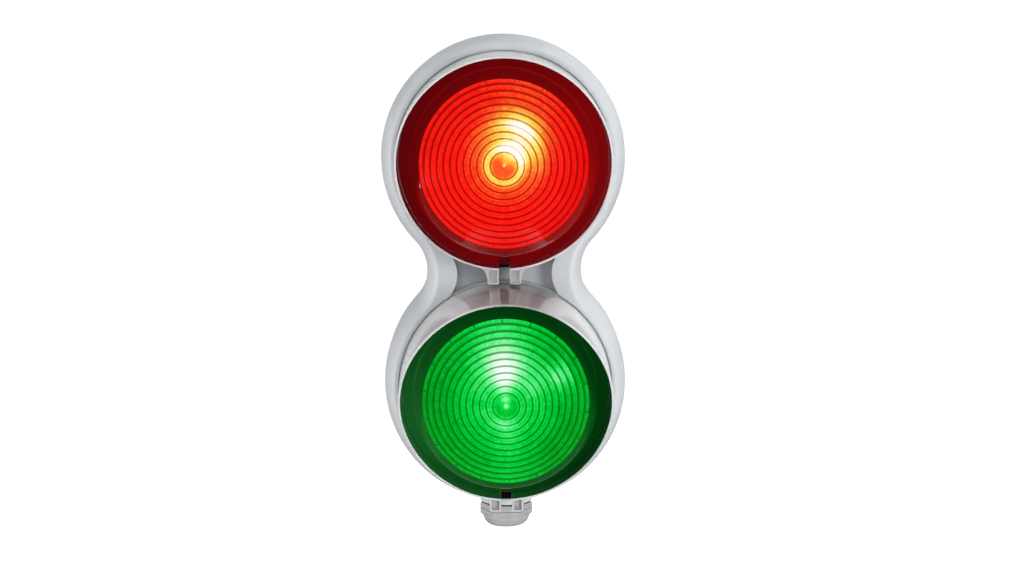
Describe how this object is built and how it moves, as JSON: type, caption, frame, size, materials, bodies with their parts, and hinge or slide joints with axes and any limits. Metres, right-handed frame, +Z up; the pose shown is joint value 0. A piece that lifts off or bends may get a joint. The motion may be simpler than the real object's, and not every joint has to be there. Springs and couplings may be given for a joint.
{
  "type": "two-aspect signal light",
  "caption": "Compact wall-mounted signal light: figure-of-eight grey housing, ringed red lens above a green one, each under a split visor, cable gland below.",
  "frame": {"origin": "middle of the flat back face, on the wall plane, half way between the two lens axes", "axes": "+Z up from the green lens to the red one, +Y into the wall, the light shines along -Y, +X to the viewer's right"},
  "size_m": [0.16, 0.137, 0.3264],
  "materials": {
    "housing_grey": "fine moulded texture, light grey",
    "plate_grey": "moulded, light grey",
    "visor_grey": "smooth satin moulding, light grey",
    "red_lens": "clear polycarbonate tinted red, polished, ringed inside",
    "green_lens": "clear polycarbonate tinted green, polished, ringed inside",
    "rubber": "black seal rubber",
    "steel": "zinc plated",
    "white_plastic": "white, smooth",
    "board": "circuit laminate with solder resist",
    "led": "LED packages on a pale carrier",
    "dark_plastic": "black",
    "terminal": "dark grey",
    "wire_brown": "brown insulation",
    "wire_blue": "blue insulation",
    "gland_grey": "light grey polyamide"
  },
  "bodies": {
    "housing": {"housing": "housing_grey", "back_plate": "plate_grey", "plate_gasket": "rubber", "plate_screw_1": "steel", "plate_screw_2": "steel", "plate_screw_3": "steel", "plate_screw_4": "steel", "plate_screw_5": "steel", "plate_screw_6": "steel", "plate_screw_7": "steel", "board_screw_1": "steel", "board_screw_2": "steel", "board_screw_3": "steel", "board_screw_4": "steel", "terminal_screw_1": "steel", "terminal_screw_2": "steel", "terminal_screw_3": "steel", "terminal_screw_4": "steel", "fixing_grommet_1": "rubber", "fixing_grommet_2": "rubber", "fixing_grommet_3": "rubber", "fixing_grommet_4": "rubber", "red_led_board": "board", "red_led_module": "led", "red_capacitor": "dark_plastic", "red_connector": "white_plastic", "red_driver_chip": "dark_plastic", "red_reflector": "white_plastic", "red_live_wire": "wire_brown", "red_neutral_wire": "wire_blue", "green_led_board": "board", "green_led_module": "led", "green_capacitor": "dark_plastic", "green_connector": "white_plastic", "green_driver_chip": "dark_plastic", "green_reflector": "white_plastic", "green_live_wire": "wire_brown", "green_neutral_wire": "wire_blue", "terminal_block": "terminal", "gland_body": "gland_grey", "gland_locknut": "gland_grey", "gland_flange_seal": "rubber", "gland_insert": "rubber", "gland_clamp_ring": "dark_plastic"},
    "red_lens": {"red_lens": "red_lens", "red_lens_seal": "rubber"},
    "green_lens": {"green_lens": "green_lens", "green_lens_seal": "rubber"},
    "red_visor": {"red_visor": "visor_grey"},
    "green_visor": {"green_visor": "visor_grey"},
    "gland_cap": {"gland_cap": "gland_grey"}
  },
  "joints": [
    {"name": "red_lens_turn", "type": "hinge", "parent": "housing", "child": "red_lens", "pos_m": [0, -0.066, 0.07425], "axis": [0, -1, 0], "range_deg": [0, 20]},
    {"name": "green_lens_turn", "type": "hinge", "parent": "housing", "child": "green_lens", "pos_m": [0, -0.066, -0.07425], "axis": [0, -1, 0], "range_deg": [0, 20]},
    {"name": "red_visor_pull", "type": "slide", "parent": "housing", "child": "red_visor", "axis": [0, -1, 0], "range_m": [0, 0.08]},
    {"name": "green_visor_pull", "type": "slide", "parent": "housing", "child": "green_visor", "axis": [0, -1, 0], "range_m": [0, 0.08]},
    {"name": "gland_cap_turn", "type": "hinge", "parent": "housing", "child": "gland_cap", "pos_m": [0, -0.026, -0.166], "axis": [0, 0, -1], "range_deg": [0, 750]}
  ]
}
